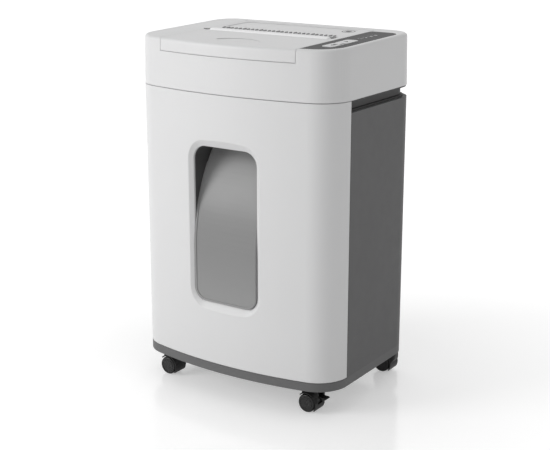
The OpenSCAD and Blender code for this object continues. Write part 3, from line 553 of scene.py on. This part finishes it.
def rocker_marks():
    """The bar and the ring that mark on and off on the mains rocker."""
    corners = [corner.co for corner in nodes["mains_rocker"].data.vertices]
    x = sum(corner.x for corner in corners) / len(corners)
    # the face looks back: its upper and lower edges lie furthest along two leaning directions
    lean = 0.2
    upper = max(corners, key=lambda corner: corner.y + lean * corner.z)
    lower = max(corners, key=lambda corner: corner.y - lean * corner.z)
    slope = math.atan2(upper.y - lower.y, upper.z - lower.z)
    face = Matrix.Rotation(-slope, 4, "X") @ FACING_BACK
    thick, sunk = 0.15 * MM, 0.03 * MM
    bar = soft_plate("rocker_bar", bar_points(0.8 * MM, 4 * MM), thick, 0.05 * MM)
    ring = ring_plate("rocker_ring", 2.2 * MM, 1.5 * MM, thick)
    for mark, share in ((bar, 0.74), (ring, 0.26)):
        spot = lower.lerp(upper, share)
        place = Matrix.Translation((x, spot.y - sunk, spot.z)) @ face
        seat(mark, place, mark_white, "rocker")


def feed_ribs():
    """A row of small ribs behind the slot that keep the sheet square to it."""
    guide = on_top("slot_guide")
    behind = max(corner.y for corner in guide) + 0.4 * MM
    pitch, width, height, edge = 8 * MM, 1.8 * MM, 2.4 * MM, 0.4 * MM
    low = -DISH - 0.2 * MM
    count = int(max(corner.x for corner in guide) / pitch) - 1
    for number in range(-count, count + 1):
        length = (9 if number % 4 == 0 else 7) * MM
        rib = soft_plate(f"feed_rib_{number + count + 1}", bar_points(width, length),
                         height, edge)
        spot = (number * pitch, behind + length / 2, low)
        seat(rib, TOP @ Matrix.Translation(spot), rib_grey, "slot_lid")


def painted_ridge_highlight():
    """A lighter crown on the front slope of the round-ended ridge before the slot: its brighter
    white is a painted highlight where the slope faces the lamp.
    """
    radius, half = 6 * MM, 107 * MM
    # the axis of the ridge, in the frame of the top, and how far the crown stands before it
    ridge_y, ridge_z, forward = -7 * MM, -2.8 * MM, 0.4 * MM
    # where the crown is cut flat below and behind, from its own axis
    floor_z, rear_y = 2.3 * MM, 2.8 * MM
    # corners nearer than this to a cut are moved onto it: kept small, so the cut faces are flat
    snap = 0.0001 * MM
    crown = start("painted_ridge_highlight", bpy.ops.mesh.primitive_uv_sphere_add, segments=48,
                  ring_count=24, radius=radius)
    # each half of the ball moves out to its end of the ridge; the ring between them stays
    for side in (-1, 1):
        choose(crown, lambda corner, side=side: side * corner.co.x > 0.1 * MM, "VERT")
        bpy.ops.transform.translate(value=(side * half, 0, 0))
        close()
    choose(crown, lambda face: True)
    bpy.ops.mesh.bisect(plane_co=(0, 0, floor_z), plane_no=(0, 0, 1), clear_inner=True,
                        use_fill=True, threshold=snap)
    bpy.ops.mesh.select_all(action="SELECT")
    bpy.ops.mesh.bisect(plane_co=(0, rear_y, 0), plane_no=(0, 1, 0), clear_outer=True,
                        use_fill=True, threshold=snap)
    close()
    place = TOP @ Matrix.Translation((0, ridge_y - forward, ridge_z - SUNK))
    seat(crown, place, ridge_highlight_white, "slot_lid")


def painted_notch_shadow():
    """A dark pointed piece at the left end of the slot, over its notch: a painted shadow where the
    end of the ridge shades the notch.
    """
    guide = on_top("slot_guide")
    x = min(corner.x for corner in guide) - 6.5 * MM
    y = min(corner.y for corner in guide) - 8 * MM
    half_length, half_width = 6 * MM, 5 * MM
    half_tip, shoulder = 1.5 * MM, 1.5 * MM
    height, sunk, edge = 1.2 * MM, 0.2 * MM, 0.4 * MM
    outline = [(-half_length, -half_tip), (shoulder, -half_width), (half_length, -half_width),
               (half_length, half_width), (shoulder, half_width), (-half_length, half_tip)]
    # painted shadow: a near-black piece where the end of the ridge shades the notch
    shadow_wedge = soft_plate("painted_notch_shadow", outline, height, edge)
    place = TOP @ Matrix.Translation((x, y, -sunk))
    seat(shadow_wedge, place, smoked_lens, "slot_lid")


def sheet_mark():
    """A ring round a sheet that turns into strips, near the right rear corner of the lid."""
    place = TOP @ Matrix.Translation((92 * MM, 80 * MM, -DISH - SUNK))
    thick, edge = 0.25 * MM, 0.08 * MM
    strip_pitch = 2.4 * MM
    ring = ring_plate("sheet_mark_ring", 11 * MM, 9.4 * MM, thick)
    seat(ring, place, print_grey, "slot_lid")
    pieces = [("sheet", (0, 2.6 * MM), (8.4 * MM, 4.6 * MM))]
    for number in range(4):
        x = (number - 1.5) * strip_pitch
        pieces.append((f"strip_{number + 1}", (x, -3 * MM), (1.2 * MM, 5 * MM)))
    for name, (x, y), size in pieces:
        mark = soft_plate("sheet_mark_" + name, bar_points(*size), thick, edge)
        spot = place @ Matrix.Translation((x, y, 0))
        seat(mark, spot, print_grey, "slot_lid")


def light_marks():
    """A generic mark beside each status light: bar, triangle, two bars and a block."""
    lights = on_top("status_lights")
    pitch, gap, thick, edge = 14 * MM, 4.5 * MM, 0.2 * MM, 0.06 * MM
    right = max(corner.x for corner in lights)
    outer = [corner for corner in lights if corner.x > right - 0.5 * MM]
    rows = sorted({round(corner.y / pitch) for corner in outer})
    bar = bar_points(4.4 * MM, 1.4 * MM)
    block = bar_points(4.84 * MM, 3.36 * MM)
    arrow = arrow_points(4 * MM, 4.4 * MM)
    signs = [[(bar, 0)], [(arrow, 0)], [(bar, -1.6 * MM), (bar, 1.6 * MM)], [(block, 0)]]
    for number, (row, sign) in enumerate(zip(rows, signs)):
        y = middle(corner.y for corner in lights if round(corner.y / pitch) == row)
        for part, (outline, shift) in enumerate(sign):
            mark = soft_plate(f"light_mark_{number + 1}_{part + 1}", outline, thick, edge)
            place = TOP @ Matrix.Translation((right + gap, y + shift, -SUNK))
            seat(mark, place, mark_white, "cabinet")


# ---------------------------------------------------------------- caster hoods

def trim_hoods():
    """Caster hoods whose fender ends flush with the block, without a thin lip in front of it."""
    lip, merge = 4.5 * MM, 0.001 * MM
    for tag, body in (("fl", "caster_front_left"), ("fr", "caster_front_right"),
                      ("rl", "caster_rear_left"), ("rr", "caster_rear_right")):
        node = nodes["caster_hood_" + tag]
        hood = bpy.data.objects.new("hood_shell_" + tag, node.data.copy())
        bpy.context.collection.objects.link(hood)
        only(hood)
        lip_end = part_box(node.name)[0].x + lip
        open_whole()
        bpy.ops.mesh.remove_doubles(threshold=merge)
        bpy.ops.mesh.bisect(plane_co=(lip_end, 0, 0), plane_no=(1, 0, 0), use_fill=True,
                            clear_inner=True)
        close()
        seat(hood, Matrix(), black_grain, body)
        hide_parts(node.name)


# ---------------------------------------------------------------- window seal

def pane_seal(name, side):
    """A soft strip in the gap beside the pane, down one side and round its lower corner."""
    low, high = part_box("window_pane")
    width, deep = 1.0 * MM, 2.4 * MM
    front = low.y + 0.3 * MM
    # where the pane starts to bend back, and the radius of that bend
    bend_z, bend_r = 240 * MM, 260 * MM
    # the run down the side, then the turn round the lower corner
    turn_r = 21.5 * MM
    run_x = high.x - width / 2
    top_z = high.z - 24 * MM
    corner_z = low.z - 0.4 * MM + turn_r
    run_steps, turn_steps, turn_step = 30, 12, math.radians(6)
    line = [(run_x, top_z + (corner_z - top_z) * step / run_steps, 0.0)
            for step in range(run_steps + 1)]
    for step in range(turn_steps):
        angle = turn_step * (step + 1)
        line.append((run_x - turn_r * (1 - math.cos(angle)),
                     corner_z - turn_r * math.sin(angle), angle))
    spots = []
    for x, z, angle in line:
        rise = max(0.0, z - bend_z)
        y = front + bend_r - math.sqrt(bend_r ** 2 - rise ** 2)
        for edge in (-width / 2, width / 2):
            spots.append((side * (x + edge * math.cos(angle)), y, z - edge * math.sin(angle)))
    strip = start(name, bpy.ops.mesh.primitive_grid_add, x_subdivisions=1,
                  y_subdivisions=len(line) - 1, size=1)
    for corner, spot in zip(strip.data.vertices, spots):
        corner.co = spot
    open_whole()
    bpy.ops.mesh.extrude_region_move(TRANSFORM_OT_translate={"value": (0, deep, 0)})
    bpy.ops.mesh.select_all(action="SELECT")
    bpy.ops.mesh.normals_make_consistent(inside=False)
    close()
    seat(strip, Matrix(), seal_rubber, "pull_out_bin")


fasten()
key_marks()
rocker_marks()
feed_ribs()
painted_ridge_highlight()
painted_notch_shadow()
sheet_mark()
light_marks()
trim_hoods()
pane_seal("pane_seal_left", -1)
pane_seal("pane_seal_right", 1)


# ---------------------------------------------------------------- studio

def floor_paint():
    """White to the eye away from the machine, greyer near it from a painted shade of weaker glow as
    well as its own shadow, and a plain diffuse floor to the light.
    """
    f = Finish("studio_floor")
    distance = f.add("ShaderNodeVectorMath", {"operation": "LENGTH"}, [f.place])
    clear_of_painted_shade = f.share(distance.outputs["Value"], low=0.3, high=1.1)
    matt = f.add("ShaderNodeBsdfDiffuse", {}, {"Color": grey(0.85)})
    polish = f.add("ShaderNodeBsdfGlossy", {}, {"Color": grey(0.9), "Roughness": 0.16})
    plain = f.add("ShaderNodeMixShader", {}, [0.14, matt.outputs[0], polish.outputs[0]])
    # painted shade: the glow to the eye is weaker within about a metre of the middle of the machine
    glow = f.add("ShaderNodeEmission", {}, {"Color": grey(1.0), "Strength": 0.38 + 0.24 * clear_of_painted_shade})
    both = f.add("ShaderNodeAddShader", {}, [plain.outputs[0], glow.outputs[0]])
    shown = f.add("ShaderNodeMixShader", {}, [f.seen(), plain.outputs[0], both.outputs[0]])
    f.plug(f.tree.nodes["Material Output"].inputs["Surface"], shown.outputs[0])
    return f.material


def studio_air():
    """A white world to the eye, and a dimmer one to the light."""
    world = bpy.data.worlds.new("studio_air")
    bpy.context.scene.world = world
    world.use_nodes = True
    air = Graph(world.node_tree)
    sky = air.tree.nodes["Background"]
    air.plug(sky.inputs["Color"], grey(1.0))
    air.plug(sky.inputs["Strength"], air.share(air.seen(), 0.0, 1.0, least=0.52, most=1.0))


def soft_lamp(name, place, size, power):
    """A round soft light that faces the middle of the machine."""
    data = bpy.data.lights.new(name, "AREA")
    data.shape = "DISK"
    data.size = size
    data.energy = power
    lamp = bpy.data.objects.new(name, data)
    bpy.context.collection.objects.link(lamp)
    lamp.location = place
    aim = MACHINE_MIDDLE - Vector(place)
    lamp.rotation_euler = aim.to_track_quat("-Z", "Y").to_euler()


def studio():
    """A pale floor, an even surround and a soft light from the left of the front."""
    bpy.ops.object.select_all(action="DESELECT")
    bpy.ops.mesh.primitive_plane_add(size=60, location=(0, 0, 0))
    floor = bpy.context.object
    floor.name = "studio_floor"
    floor.data.materials.append(floor_paint())
    studio_air()
    soft_lamp("key_light", place=(-2.2, -2.6, 1.4), size=1.8, power=50)
    soft_lamp("top_light", place=(-0.4, 0.6, 2.6), size=2.2, power=2)


def main_camera():
    """Eye level a little over the top, in front and to the right."""
    pitch, turn = 15.902, 33.898
    lens = bpy.data.cameras.new("main_camera")
    lens.lens = 78.9
    lens.sensor_width = 36
    camera = bpy.data.objects.new("main_camera", lens)
    bpy.context.collection.objects.link(camera)
    camera.location = (1.054, -1.558, 0.794)
    camera.rotation_euler = (math.radians(90 - pitch), 0, math.radians(turn))
    bpy.context.scene.camera = camera


studio()
main_camera()
bpy.context.scene.view_settings.view_transform = "Standard"
